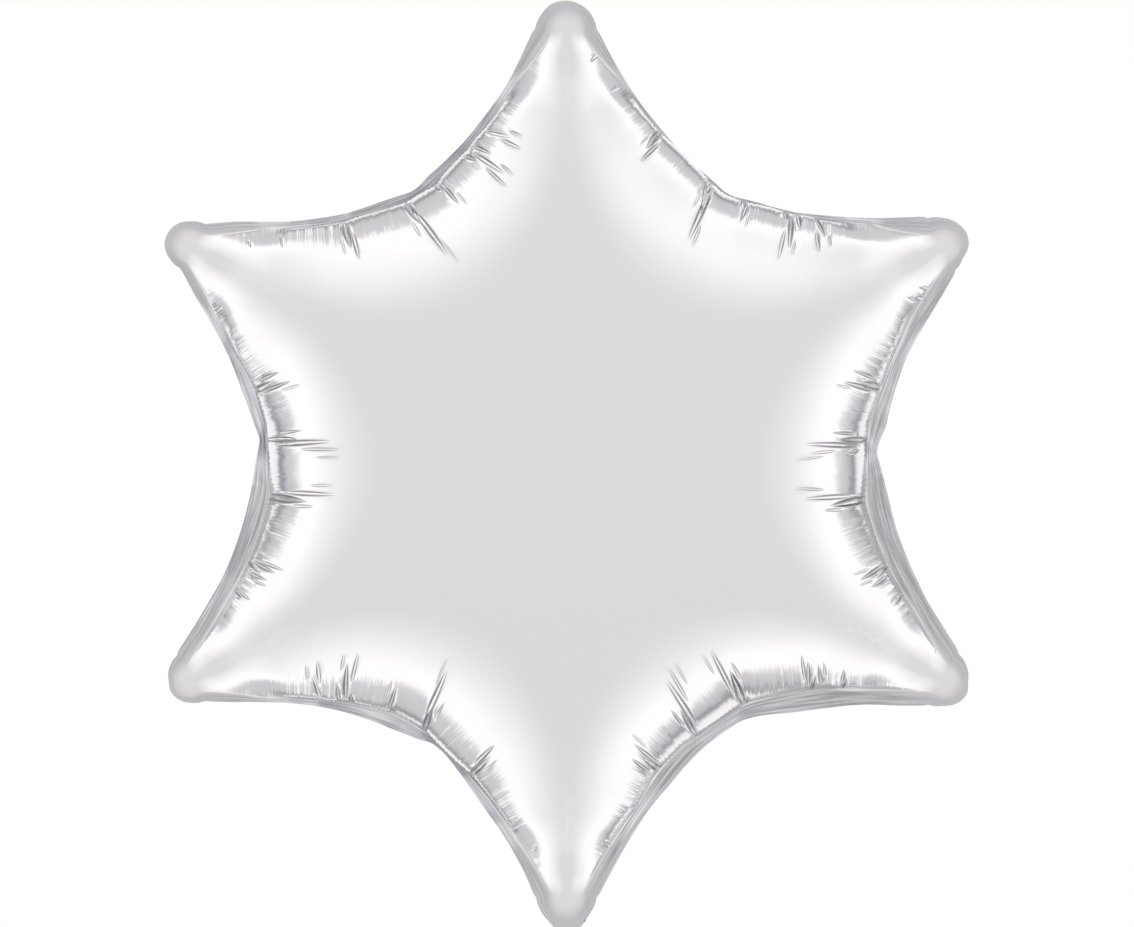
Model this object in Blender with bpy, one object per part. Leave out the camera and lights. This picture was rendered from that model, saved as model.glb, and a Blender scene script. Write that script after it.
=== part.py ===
"""Star foil balloon, inflated, with its filling neck folded up behind the bottom point.

Two sheets of metallised film are welded together round a six pointed outline. Gas domes
both sheets, so they pucker between the points, and leaves a flat margin all round. The
neck is a flat tube of the same film with a thin valve sleeve inside. It hinges on the
crease at the bottom point. Metres, +Z up to the top point, -Y to the front.
"""
import math

import bmesh
import bpy
import numpy

# Envelope, inflated
SPAN = 0.500
TIP_REACH = SPAN / 2
VALLEY_REACH = 0.1692
THICKNESS = 0.172
POINTS = 6
SECTOR = 360 / POINTS
HALF_SECTOR = SECTOR / 2

# Cut edge between two points: a slope and a curve, eased over a short core at the valley
EDGE_SLOPE = 0.17
EDGE_CURVE = 2.3
VALLEY_CORE = 0.010
TIP_ROUND = 0.015
EDGE_STEPS = 60
EDGE_PROBE = 1.0
TRAVEL_STEP = 0.1

# Film stands far thicker than the real sheet, and touching sheets keep a gap
FILM = 0.0006
GAP = 0.0003
WELD = 0.0004
MARGIN = 0.009
TIP_MARGIN = 0.0125
TIP_SPREAD = 6.5
WELD_INSET = 0.001

# Dome of one face: the shape of a film blown up over the weld line, as waves round the
# middle whose weights are fitted to that line, to a power that fills out its walls
DOME_WAVES = 6
DOME_SAMPLES = 120
DOME_POWER = 0.55
SEAM_EASE = 20
SMOOTH_ANGLE = math.radians(40)

# Puckers: valley in degrees from the top, place along the cut edge from that valley,
# length in from the weld and depth, in millimetres
PUCKERS = (
    (30, -46, 24, 4.5), (30, -9, 40, 8.0), (30, 12, 24, 4.5), (30, 40, 32, 6.5),
    (90, -43, 30, 6.0), (90, -12, 40, 7.5), (90, 18, 38, 7.5), (90, 58, 20, 4.0),
    (150, -36, 30, 6.0), (150, 3, 42, 8.0), (150, 44, 28, 6.0),
    (210, -44, 28, 6.0), (210, -3, 42, 8.0), (210, 36, 30, 6.5),
    (270, -58, 20, 4.0), (270, -16, 38, 7.5), (270, 12, 40, 7.5), (270, 43, 28, 6.0),
    (330, -38, 28, 6.0), (330, 1, 42, 8.0), (330, 19, 22, 4.5), (330, 48, 30, 6.0),
)
PUCKER_HALF_WIDTH = 1.7
PUCKER_PEAK = 0.55
COLUMN_CLEARANCE = 1.0

# Columns of a half sector in degrees off its point, and rings as shares of the way out
HALF_COLUMNS = (0.0, 1.8, 3.6, 6.5, 10.5, 15.0, 20.0, 25.0, 30.0)
RINGS = (0.26, 0.48, 0.66, 0.79, 0.88, 0.94, 0.98, 1.0)

# Filling neck, folded up behind the bottom point
NECK_LENGTH = 0.050
NECK_WIDTH = 0.022
NECK_ROOT_WIDTH = 0.017
NECK_SHOULDER = 0.007
NECK_LIP = 0.002
NECK_CORNER = 0.003
NECK_TILT = math.radians(21)
NECK_SEAL_WIDTH = 0.0035
SLEEVE_WIDTH = 0.013
SLEEVE_INSET = 0.0015

MILLI = 0.001
FRONT = -1
BACK = 1


def clear_scene():
    for old in list(bpy.data.objects):
        bpy.data.objects.remove(old, do_unlink=True)


def make_material(name, colour, roughness, metallic, alpha=1.0):
    mat = bpy.data.materials.new(name)
    mat.use_nodes = True
    shader = mat.node_tree.nodes["Principled BSDF"]
    shader.inputs["Base Color"].default_value = (*colour, 1.0)
    shader.inputs["Roughness"].default_value = roughness
    shader.inputs["Metallic"].default_value = metallic
    shader.inputs["Alpha"].default_value = alpha
    return mat


def add_object(name, bm, mat, smooth_angle=None):
    mesh = bpy.data.meshes.new(name)
    bm.to_mesh(mesh)
    bm.free()
    mesh.materials.append(mat)
    obj = bpy.data.objects.new(name, mesh)
    bpy.context.scene.collection.objects.link(obj)
    if smooth_angle is not None:
        mesh.shade_smooth()
        mesh.set_sharp_from_angle(angle=smooth_angle)
    return obj


def off_point(angle):
    """Degrees between an angle from the top and the nearest point of the star."""
    within = angle % SECTOR
    return min(within, SECTOR - within)


def edge_reach(angle):
    """Distance from the middle to the cut edge."""
    tip_centre = TIP_REACH - TIP_ROUND
    off = off_point(angle)
    turn = math.radians(off)
    across = tip_centre * math.sin(turn)
    if across < TIP_ROUND * math.cos(turn):
        return tip_centre * math.cos(turn) + math.sqrt(TIP_ROUND ** 2 - across ** 2)
    from_valley = math.radians(HALF_SECTOR - off)
    reach = VALLEY_REACH
    for _ in range(EDGE_STEPS):
        side = reach * math.sin(from_valley)
        eased = math.hypot(side, VALLEY_CORE) - VALLEY_CORE
        rise = EDGE_SLOPE * eased + EDGE_CURVE * side ** 2
        reach = (VALLEY_REACH + rise) / math.cos(from_valley)
    return reach


def edge_point(angle):
    """Point (x, z) of the cut edge at an angle clockwise from the top."""
    turn = math.radians(angle)
    reach = edge_reach(angle)
    return reach * math.sin(turn), reach * math.cos(turn)


def inset_point(angle, width, tip_width):
    """The cut edge moved in: width along the sides, tip_width at the points."""
    x0, z0 = edge_point(angle - EDGE_PROBE)
    x1, z1 = edge_point(angle + EDGE_PROBE)
    length = math.hypot(x1 - x0, z1 - z0)
    tipness = max(0.0, 1 - off_point(angle) / TIP_SPREAD)
    step = width + (tip_width - width) * tipness
    x, z = edge_point(angle)
    return x + (z1 - z0) / length * step, z - (x1 - x0) / length * step


def angle_along_edge(valley, travel):
    """Angle reached by following the cut edge from a valley, clockwise if positive."""
    step = math.copysign(TRAVEL_STEP, travel)
    angle = valley
    left = abs(travel)
    x, z = edge_point(angle)
    while left > 0:
        angle += step
        x1, z1 = edge_point(angle)
        left -= math.hypot(x1 - x, z1 - z)
        x, z = x1, z1
    return angle


def pucker_angles():
    """Each pucker as (angle, length, depth) in degrees and metres."""
    placed = []
    for valley, travel, length, depth in PUCKERS:
        angle = angle_along_edge(valley, travel * MILLI) % 360
        placed.append((angle, length * MILLI, depth * MILLI))
    return placed


def columns():
    """Every column round the star: (angle, pucker length, pucker depth)."""
    puckered = []
    for angle, length, depth in pucker_angles():
        puckered.append((angle - PUCKER_HALF_WIDTH, 0.0, 0.0))
        puckered.append((angle, length, depth))
        puckered.append((angle + PUCKER_HALF_WIDTH, 0.0, 0.0))
    plain = []
    for point in range(POINTS):
        for off in HALF_COLUMNS:
            plain.append(SECTOR * point + off)
        for off in HALF_COLUMNS[1:-1]:
            plain.append(SECTOR * (point + 1) - off)
    clear = [a for a in plain if all(abs(a - p[0]) > COLUMN_CLEARANCE for p in puckered)]
    return sorted(puckered + [(a, 0.0, 0.0) for a in clear])


def dome_waves(reach, turn):
    """A level surface and the waves that may be added to it, at a place on the face."""
    waves = [1.0]
    for count in range(POINTS, POINTS * DOME_WAVES + 1, POINTS):
        waves.append(reach ** count * math.cos(count * turn))
    return waves


def fit_dome():
    """Weights of the waves that bring the dome to nothing along the weld line."""
    rows = []
    falls = []
    for step in range(DOME_SAMPLES + 1):
        x, z = inset_point(HALF_SECTOR * step / DOME_SAMPLES, MARGIN, TIP_MARGIN)
        reach = math.hypot(x, z) / TIP_REACH
        rows.append(dome_waves(reach, math.atan2(x, z)))
        falls.append(reach ** 2)
    return numpy.linalg.lstsq(rows, falls, rcond=None)[0]


def dome_level(weights, reach, turn):
    """Level of the dome before its power: one in the middle, about zero on the weld."""
    total = sum(w * wave for w, wave in zip(weights, dome_waves(reach, turn)))
    return (total - reach ** 2) / weights[0]


def dome_share(reach, weights, weld_reach, turn):
    """Height of a face as a share of its middle height, reach of the way to the weld."""
    level = dome_level(weights, reach * weld_reach, turn)
    left_over = dome_level(weights, weld_reach, turn)
    return max(0.0, level - left_over * reach ** SEAM_EASE) ** DOME_POWER


def pucker_share(travel):
    """Depth of a pucker, travel of its length in from the weld."""
    if travel <= 0 or travel >= 1:
        return 0.0
    return math.sin(math.pi * travel ** PUCKER_PEAK)


def panel_surface(bm, facing, level, inset):
    """One side of a film sheet, dome and margin, and its outermost loop of points."""
    rise = THICKNESS / 2 - WELD / 2 - GAP - FILM
    weights = fit_dome()
    middle = bm.verts.new((0, facing * (level + rise), 0))
    rings = [[] for _ in RINGS]
    outline = []
    for angle, length, depth in columns():
        x, z = inset_point(angle, MARGIN + inset, TIP_MARGIN + inset)
        weld_reach = math.hypot(x, z)
        line = (weights, weld_reach / TIP_REACH, math.atan2(x, z))
        for ring, reach in zip(rings, RINGS):
            height = rise * dome_share(reach, *line)
            sink = 0.0
            pull = 0.0
            if depth > 0:
                just_in = rise * dome_share(reach - MILLI, *line)
                steep = math.atan2(just_in - height, MILLI * weld_reach)
                push = depth * pucker_share((1 - reach) * weld_reach / length)
                sink = push * math.cos(steep)
                pull = push * math.sin(steep) / weld_reach
            scale = reach - pull
            place = (x * scale, facing * (level + height - sink), z * scale)
            ring.append(bm.verts.new(place))
        edge_x, edge_z = edge_point(angle)
        outline.append(bm.verts.new((edge_x, facing * level, edge_z)))
    rings.append(outline)
    faces = []
    for i in range(len(outline)):
        j = (i + 1) % len(outline)
        faces.append(bm.faces.new((middle, rings[0][j], rings[0][i])))
        for inner, outer in zip(rings, rings[1:]):
            faces.append(bm.faces.new((inner[i], inner[j], outer[j], outer[i])))
    return faces, outline


def build_panel(name, facing, mat):
    """One film sheet: a dome, puckered between the points, and its flat margin."""
    inner_level = WELD / 2 + GAP
    bm = bmesh.new()
    _, outside = panel_surface(bm, facing, inner_level + FILM, 0.0)
    lining, inside = panel_surface(bm, facing, inner_level, FILM)
    bmesh.ops.reverse_faces(bm, faces=lining)
    for i in range(len(outside)):
        j = (i + 1) % len(outside)
        bm.faces.new((outside[i], outside[j], inside[j], inside[i]))
    if facing == BACK:
        bmesh.ops.reverse_faces(bm, faces=bm.faces)
    bmesh.ops.triangulate(bm, faces=bm.faces)
    return add_object(name, bm, mat, smooth_angle=SMOOTH_ANGLE)


def build_weld(name, mat):
    """The welded band that joins both margins, a flat ring."""
    bm = bmesh.new()
    inner = []
    outer = []
    for angle, _, _ in columns():
        x, z = inset_point(angle, MARGIN - WELD_INSET, TIP_MARGIN - WELD_INSET)
        inner.append(bm.verts.new((x, -WELD / 2, z)))
        x, z = inset_point(angle, WELD_INSET, WELD_INSET)
        outer.append(bm.verts.new((x, -WELD / 2, z)))
    faces = []
    for i in range(len(outer)):
        j = (i + 1) % len(outer)
        faces.append(bm.faces.new((inner[i], inner[j], outer[j], outer[i])))
    thicken(bm, faces, WELD)
    return add_object(name, bm, mat)


def thicken(bm, faces, thickness):
    """Turn flat faces into a closed plate that reaches thickness further along +Y."""
    grown = bmesh.ops.extrude_face_region(bm, geom=faces)
    lifted = [item for item in grown["geom"] if isinstance(item, bmesh.types.BMVert)]
    bmesh.ops.translate(bm, verts=lifted, vec=(0, thickness, 0))
    bmesh.ops.recalc_face_normals(bm, faces=bm.faces)


def neck_outline(length):
    """Half of the neck's flat shape as (x, z), from its root up one side to its mouth."""
    side = NECK_WIDTH / 2
    outline = [(NECK_ROOT_WIDTH / 2, 0.0), (side, NECK_SHOULDER)]
    for degrees in (0, 30, 60, 90):
        turn = math.radians(degrees)
        x = side - NECK_CORNER + NECK_CORNER * math.cos(turn)
        z = length - NECK_CORNER + NECK_CORNER * math.sin(turn)
        outline.append((x, z))
    return outline


def both_sides(half):
    return half + [(-x, z) for x, z in reversed(half)]


def build_sheet(name, outline, near, thickness, pivot, mat):
    """A flat sheet on the neck: its outline in local X and Z, its near face at local Y."""
    bm = bmesh.new()
    face = bm.faces.new([bm.verts.new((x, near, z)) for x, z in outline])
    thicken(bm, [face], thickness)
    sheet = add_object(name, bm, mat)
    sheet.parent = pivot
    return sheet


def build_neck(foil, weld, clear):
    """Neck films, their two side welds and the valve sleeve, hinged at the bottom point."""
    pivot = bpy.data.objects.new("neck_pivot", None)
    bpy.context.scene.collection.objects.link(pivot)
    pivot.location = (0, WELD / 2 + GAP + FILM + GAP, -(TIP_REACH + GAP))
    pivot.rotation_euler = (-NECK_TILT, 0, 0)
    middle_layer = FILM + GAP
    outer_layer = middle_layer + WELD + GAP
    back_half = neck_outline(NECK_LENGTH)
    front_half = neck_outline(NECK_LENGTH - NECK_LIP)
    build_sheet("neck_back_film", both_sides(back_half), 0.0, FILM, pivot, foil)
    build_sheet("neck_front_film", both_sides(front_half), outer_layer, FILM, pivot, foil)
    seal_top = NECK_LENGTH - NECK_LIP - NECK_CORNER
    seal_out = NECK_WIDTH / 2 - GAP
    seal_in = seal_out - NECK_SEAL_WIDTH
    for name, side in (("neck_seal_left", -1), ("neck_seal_right", 1)):
        strip = [
            (side * seal_out, NECK_SHOULDER),
            (side * seal_out, seal_top),
            (side * seal_in, seal_top),
            (side * seal_in, NECK_SHOULDER),
        ]
        build_sheet(name, strip, middle_layer, WELD, pivot, weld)
    sleeve_end = NECK_LENGTH - NECK_LIP - SLEEVE_INSET
    sleeve_half = [(SLEEVE_WIDTH / 2, GAP), (SLEEVE_WIDTH / 2, sleeve_end)]
    build_sheet("valve_sleeve", both_sides(sleeve_half), middle_layer, WELD, pivot, clear)


def build_balloon():
    foil = make_material("silver_foil", (0.86, 0.86, 0.87), 0.16, 1.0)
    weld = make_material("welded_foil", (0.62, 0.62, 0.63), 0.35, 1.0)
    clear = make_material("clear_film", (0.86, 0.88, 0.88), 0.20, 0.0, alpha=0.6)
    build_panel("front_panel", FRONT, foil)
    build_panel("back_panel", BACK, foil)
    build_weld("heat_seal", weld)
    build_neck(foil, weld, clear)


clear_scene()
build_balloon()
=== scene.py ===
import math

import bpy
import numpy as np
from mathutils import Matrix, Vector
from mathutils.geometry import delaunay_2d_cdt
from mathutils.kdtree import KDTree


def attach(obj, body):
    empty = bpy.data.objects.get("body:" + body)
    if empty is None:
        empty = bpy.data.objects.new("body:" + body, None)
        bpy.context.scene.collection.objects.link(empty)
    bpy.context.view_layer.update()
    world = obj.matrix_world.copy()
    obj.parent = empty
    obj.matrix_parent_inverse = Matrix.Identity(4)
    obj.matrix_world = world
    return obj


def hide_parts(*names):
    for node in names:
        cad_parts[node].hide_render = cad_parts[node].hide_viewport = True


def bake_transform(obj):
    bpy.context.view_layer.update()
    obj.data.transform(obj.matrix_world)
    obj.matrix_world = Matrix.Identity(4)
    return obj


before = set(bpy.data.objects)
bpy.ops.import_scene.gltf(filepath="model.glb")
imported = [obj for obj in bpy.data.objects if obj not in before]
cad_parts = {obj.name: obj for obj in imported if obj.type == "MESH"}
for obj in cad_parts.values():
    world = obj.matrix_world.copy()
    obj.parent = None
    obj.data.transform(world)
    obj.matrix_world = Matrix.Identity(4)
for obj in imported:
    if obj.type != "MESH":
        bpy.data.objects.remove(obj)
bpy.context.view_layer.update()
scene = bpy.context.scene

# Sizes are in metres where no comment says millimetres. The plan is the star seen from the
# front, x to the right and z up. Angles on it are in degrees clockwise from the top point,
# and travel is the way along the outline from there.
MM = 0.001

# Points of the star, degrees between two of them, and from a point to the valley beside it
POINTS = 6
POINT_TURN = 360 // POINTS
HALF_TURN = POINT_TURN // 2

# Cut outline of the even star that the solids have, with round tips and curved sides
TIP_REACH = 0.250
VALLEY_REACH = 0.1692
TIP_ROUND = 0.015
EDGE_SLOPE = 0.17
EDGE_CURVE = 2.3
VALLEY_CORE = 0.010
# Its margin, which is wider within so many degrees of a tip
MARGIN = 0.009
TIP_MARGIN = 0.0125
TIP_SPREAD = 6.5

# Blown up face over the weld line: its height comes from a sum of waves round the middle
DOME_HEIGHT = 0.0849
DOME_WAVES = 6
DOME_POWER = 0.55
# It bends down to the real weld from this far in: a share of the way to the tip, with its
# least and most in millimetres
EASE_SHARE = 0.26
EASE_LEAST = 13
EASE_MOST = 20

# A point's beak rises from the end of its weld like a keel: first slope, how much the slope
# grows by the millimetre, how many millimetres from the end the walls take over, and reach
BEAK_SLOPE = 0.20
BEAK_GROWTH = 0.0080
BEAK_END = 50
BEAK_REACH = 85
# Between two distances from the middle the dome is raised by a height, out of the beak's way
BEAK_ALONE = (0.218, 0.238, 0.008)

# Net of the film in millimetres: the climb of its rows of points up the wall, the climb from
# which they are sparser, and the steps of the grid over the crown and down each ridge
ROWS = (
    0.8, 1.8, 3.0, 4.3, 5.7, 7.2, 8.8, 10.5, 12.3, 14.2, 16.2,
    18.4, 20.8, 23.4, 26.2, 29.4, 32.8, 36.5, 40.5, 45.0, 50.0,
)
SPARSE_FROM = 34
WALL_REACH = 60
CROWN_GRID = 4.0
RIDGE_STEP = 2.0
NET_MERGE = 0.00002

# Small ribs up the wall, by their gap in millimetres, and the swells between pinches: the
# gap that lets one swell in full, the gap too long for any, and how far up the wall it fades
RIB_GAP = (0.95, 1.45)
RIB_HEIGHT = 0.00032
SWELL_FULL = 26
SWELL_LONGEST = 90
SWELL_FADE = 15

# Welded margin: its real width in millimetres, how steeply it leans back where it looks
# narrower, and how far each film lies from the middle of the band between them
MARGIN_RINGS = 6
MARGIN_WIDTH = 10.0
STEEPEST_MARGIN = math.tan(math.radians(62))
FILM_LEVEL = 0.0007
BAND_HALF = 0.00025
BAND_INSET = 0.0004
# How far inside the even outline the cut edge and the weld lie at each tip, in millimetres
CUT_AT_TIP = {0: 0.2, 60: 1.0, 120: 0.8, 180: 0.2, 240: 3.2, 300: 1.2}
WELD_AT_TIP = dict.fromkeys(CUT_AT_TIP, 7.0)

# Filling neck, in its own directions: across, up from its fold, and out from the balloon
NECK_FOLD = (0.0, 0.0014, -0.2503)
NECK_LEAN = math.radians(21)
NECK_ROOT_HALF = 0.0059
NECK_HALF = 0.011
NECK_SHOULDER = 0.007
NECK_CORNER = 0.003
NECK_BACK_LENGTH = 0.050
NECK_FRONT_LENGTH = 0.048
NECK_MIDDLE = 0.0011
NECK_PUFF = 0.00075
NECK_WELD_IN = 0.0072
NECK_WELD_OUT = 0.0107
NECK_WELD_END = 0.045
NECK_WELD_THICK = 0.00008
NECK_WELD_RIPPLE = 0.00002
SLEEVE_HALF = 0.0065
SLEEVE_START = 0.002
SLEEVE_END = 0.0465
SLEEVE_THICK = 0.0001
SLEEVE_RIPPLE = 0.0004
# Pitch of the neck's creases: those that run up it, and those across it
NECK_CREASES = (0.0034, 0.0052, 0.0081, 0.013)
NECK_CROSS_CREASES = (0.006, 0.011)

# Film round the neck's fold: its path (y, z) from the margin's back to the neck, its lowest
# level, and how high above that it has grown how much wider on each side
FOLD_PATH = (
    (-0.00076, -0.2467), (-0.00076, -0.2478), (-0.00076, -0.2489), (-0.00074, -0.2497),
    (-0.0005, -0.25035), (0.0, -0.2508), (0.0007, -0.25105), (0.0014, -0.25113),
    (0.002, -0.25113), (0.0027, -0.25098), (0.0034, -0.2506), (0.0037, -0.24985),
    (0.00398, -0.24915), (0.0043, -0.2483), (0.0046, -0.2475),
)
FOLD_LOWEST = -0.2511
FOLD_RISE = 0.0044
FOLD_WIDENING = 0.0034

# Blade of folded film, across it in half widths: a steep sided groove between two lips,
# with points every so many millimetres along it
ACROSS = (-2.0, -1.55, -1.25, -1.0, -0.8, -0.45, 0.0, 0.45, 0.8, 1.0, 1.25, 1.55, 2.0)
GROOVE_DEPTH = 0.95
LIP_HEIGHT = 0.34
BLADE_STEP = 1.3

# Where the cut edge and the weld of the real one lie, by valley clockwise from the top:
# millimetres along the outline from the valley, then how far inside the even outline
STATIONS = (
    -130, -121, -110, -97, -80, -60, -40, -20, -12, -6, 0,
    6, 12, 20, 40, 60, 80, 97, 110, 121, 130,
)
CUT_EDGE = {
    30: (
        0.4, 0.0, -1.5, -1.2, -1.1, -1.0, -1.4, -1.7, -2.0, -1.8, -0.7,
        -0.4, -1.3, -1.8, -1.3, -2.5, -3.0, -3.3, -3.5, 0.0, 0.9,
    ),
    90: (
        1.7, 3.0, -0.3, -0.6, 0.0, 1.1, 0.6, -0.1, 1.2, 1.8, -0.1,
        -1.0, -1.3, -1.6, -1.1, -1.3, -1.6, -2.5, -2.6, 0.4, 2.2,
    ),
    150: (
        1.1, 1.8, -0.9, -1.2, -0.4, -0.3, 0.1, 2.6, 2.9, 1.6, 0.9,
        0.4, 0.6, 0.5, -0.3, -0.4, -1.1, -1.4, -1.6, 0.4, -0.2,
    ),
    210: (
        -0.5, -0.5, -2.0, -0.8, -0.4, -0.4, 1.0, 3.4, 3.0, 0.2, -1.1,
        -1.4, -1.4, -0.8, 0.5, 1.1, 0.8, 0.5, 1.3, 3.4, 3.4,
    ),
    270: (
        3.7, 1.7, -1.4, -1.0, -0.4, 0.6, 0.8, 0.5, 0.4, 0.2, 0.5,
        2.0, 4.4, 3.1, 1.9, 1.9, 1.2, 0.8, 1.7, 2.1, 1.2,
    ),
    330: (
        1.3, 1.8, 0.2, -1.2, -0.9, -0.3, -0.2, -1.5, -1.8, -1.4, -0.4,
        -0.6, -1.8, -1.6, -1.0, -1.0, -0.9, -2.0, -2.9, -0.7, -0.4,
    ),
}
WELD_EDGE = {
    30: (
        6.8, 6.6, 6.4, 4.2, 1.4, 0.6, 0.1, -0.3, -0.4, 0.2, 1.6,
        1.2, 0.4, 0.2, 0.2, 0.4, 1.0, 4.1, 6.4, 6.6, 6.8,
    ),
    90: (
        6.8, 6.6, 6.4, 7.2, 8.2, 8.6, 8.8, 9.8, 9.2, 8.6, 8.4,
        8.8, 9.6, 11.0, 11.0, 9.7, 7.0, 6.7, 6.4, 6.6, 6.8,
    ),
    150: (
        6.8, 6.6, 6.4, 7.0, 7.8, 10.0, 10.8, 11.6, 11.0, 9.4, 8.4,
        8.2, 8.6, 9.7, 9.4, 6.6, 6.2, 6.3, 6.4, 6.6, 6.8,
    ),
    210: (
        6.8, 6.6, 6.4, 5.7, 4.9, 5.7, 6.2, 6.4, 6.4, 6.4, 6.6,
        7.0, 7.5, 7.5, 6.6, 4.8, 3.8, 5.3, 6.4, 6.6, 6.8,
    ),
    270: (
        6.8, 6.6, 6.4, 7.0, 7.8, 9.9, 10.8, 11.2, 10.4, 8.8, 8.2,
        8.2, 8.8, 9.9, 9.2, 6.4, 5.8, 6.1, 6.4, 6.6, 6.8,
    ),
    330: (
        6.8, 6.6, 6.4, 5.0, 3.2, 3.6, 4.1, 4.3, 4.0, 3.7, 3.7,
        4.2, 4.6, 4.0, 3.6, 3.3, 3.0, 4.9, 6.4, 6.6, 6.8,
    ),
}

# Folds as slender blades in millimetres: place along the outline from the valley and
# place inside it, for the start and the tip of the blade, then half its width
HIDDEN_WELD_BLADES = (
    (-47.5, -0.5, -44.2, 13, 1.7), (-42.2, 6, -41, 20.6, 1.2), (-48.6, 7, -48.0, 14, 0.7),
    (-10.4, -1, -4.3, 16, 1.8), (-5.9, 5, -2.0, 35, 1.6), (-1.2, 24, 0.1, 37, 0.8),
    (-9.0, 9, -7.6, 19, 0.7), (11.6, 0, 12.4, 6, 1.5), (13.8, 2, 13.2, 13, 1.1),
    (16.0, 8, 16.4, 15, 0.7), (34.5, 0, 36.0, 5.5, 1.5), (38.0, 2, 39.8, 20.5, 1.4),
    (36.0, 10.5, 35.5, 28, 1.0), (41.6, 0, 43.4, 9, 1.2), (42.0, 15, 41.8, 24, 0.7),
    (51.0, 0, 57.2, 11, 1.1), (52.0, 8, 54.9, 20, 1.1), (58.7, 9, 60.7, 16, 0.8),
    (-100.5, 5, -98.6, 10.5, 1.0), (-80.2, 4, -79.8, 11, 0.7),
)
NARROW_MARGIN_BLADES = (
    (-38.2, 5.6, -36.7, 20.5, 1.8), (-34.6, 13, -33.8, 28, 1.2), (-40.6, 14.5, -40.0, 24, 0.7),
    (-4.9, 5, -2.2, 20.5, 1.7), (-2.2, 13.5, 0.2, 43, 1.5), (-5.5, 16.5, -4.6, 27, 0.8),
    (0.9, 33, 1.8, 49, 0.6), (12.6, 6, 13.4, 11.5, 1.5), (15.2, 9.5, 14.7, 23, 1.1),
    (17.4, 17.5, 17.4, 26, 0.7), (34.2, 6, 35.8, 12.5, 1.4), (38.0, 8.5, 39.9, 29, 1.3),
    (36.1, 19, 35.6, 35.5, 1.0), (41.0, 6, 43.2, 16.7, 1.1), (42.2, 24, 42.0, 33.5, 0.8),
    (50.8, 6, 56.0, 18.8, 1.1), (52.0, 15, 54.4, 27.5, 1.1), (57.8, 16, 60.0, 24, 0.8),
    (-72.0, 8, -71.4, 15, 0.7), (-89.0, 9.5, -88.0, 13.5, 0.8),
)
WIDE_MARGIN_BLADES = (
    (-15.6, 10, -13.8, 32.5, 2.0), (-17.2, 26, -15.2, 37.5, 0.9), (-11.7, 21, -9.2, 47.5, 1.3),
    (-7.2, 34, -6.2, 47, 0.7), (-18.8, 10, -17.6, 16, 1.3), (11.4, 9, 9.0, 27, 1.4),
    (8.2, 14.5, 6.4, 45, 1.5), (4.9, 28, 3.7, 50, 0.9), (12.9, 18, 12.2, 30, 0.9),
    (1.9, 36, 1.6, 50, 0.6), (36.9, 8, 37.6, 20.8, 1.7), (34.8, 14, 35.2, 30.5, 1.1),
    (41.0, 13.5, 41.2, 26, 1.0), (32.2, 25, 32.4, 35.5, 0.7), (-49.8, 9.5, -53.0, 19, 1.0),
    (-49.3, 14, -50.2, 27.5, 1.1), (-55.8, 13.5, -55.0, 24.5, 1.0), (-47.6, 17.5, -47.4, 32, 0.9),
    (-58.0, 17, -57.8, 26, 0.7), (-66.2, 9, -68.6, 15.8, 1.0), (-66.2, 12.5, -67.6, 20.4, 0.9),
    (85.6, 5.5, 84.2, 11, 1.0), (-97.0, 4.5, -99.6, 8, 0.9),
)
RIGHT_SIDE_BLADES = (
    (-39.0, 8, -37.6, 21, 1.9), (-36.0, 13.5, -34.8, 30.5, 1.3), (-41.8, 13.5, -41.6, 27.5, 0.9),
    (-33.2, 25.5, -32.4, 34.5, 0.7), (-11.6, 8, -8.7, 25.5, 1.6), (-7.6, 13.5, -5.6, 43.5, 1.4),
    (-12.9, 16.5, -11.2, 30, 0.9), (-6.0, 13.5, -3.8, 20, 0.9), (-4.5, 26, -2.7, 41.5, 0.8),
    (-2.2, 33, -0.9, 49, 0.6), (17.0, 10, 15.9, 31.5, 2.1), (13.5, 20.5, 11.0, 45.5, 1.3),
    (18.8, 26, 17.2, 36, 0.9), (8.8, 34, 6.9, 50, 0.8), (52.0, 9, 56.0, 19, 1.1),
    (51.6, 13.5, 53.5, 28, 1.2), (57.7, 13.5, 59.0, 24, 1.0), (50.0, 21.5, 50.0, 31, 0.7),
    (55.7, 21.5, 55.8, 30, 0.7), (69.4, 10.5, 72.2, 16, 1.0), (67.6, 12, 70.0, 18, 0.8),
    (-91.0, 7.8, -87.8, 13, 1.1), (-97.0, 8, -94.4, 12.8, 0.8), (-88.0, 11, -86.8, 16, 0.7),
    (101.2, 3.4, 105.8, 8.8, 1.0),
)
BLADES = {
    30: HIDDEN_WELD_BLADES,
    90: RIGHT_SIDE_BLADES,
    150: WIDE_MARGIN_BLADES,
    210: NARROW_MARGIN_BLADES,
    270: WIDE_MARGIN_BLADES,
    330: NARROW_MARGIN_BLADES,
}
# Places where a bundle of blades gathers the wall, and how strongly
PINCHES = {
    30: ((-46, 0.8), (-9, 1.0), (12.5, 0.5), (39, 0.8), (53, 0.6)),
    90: ((-38, 0.9), (-9, 1.0), (17, 1.0), (55, 0.7), (70, 0.4)),
    150: ((-51, 0.7), (-16, 1.0), (11, 0.9), (37, 0.8), (-67, 0.5)),
    210: ((-38, 0.8), (-4, 1.0), (13.5, 0.5), (38, 0.8), (53, 0.6)),
    270: ((-51, 0.7), (-16, 1.0), (11, 0.9), (37, 0.8), (-67, 0.5)),
    330: ((-38, 0.8), (-4, 1.0), (13.5, 0.5), (38, 0.8), (53, 0.6)),
}
# How far the wall swells between pinches, in millimetres
SWELLS = {30: 1.9, 90: 0.6, 150: 0.5, 210: 1.6, 270: 0.4, 330: 1.6}

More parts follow.
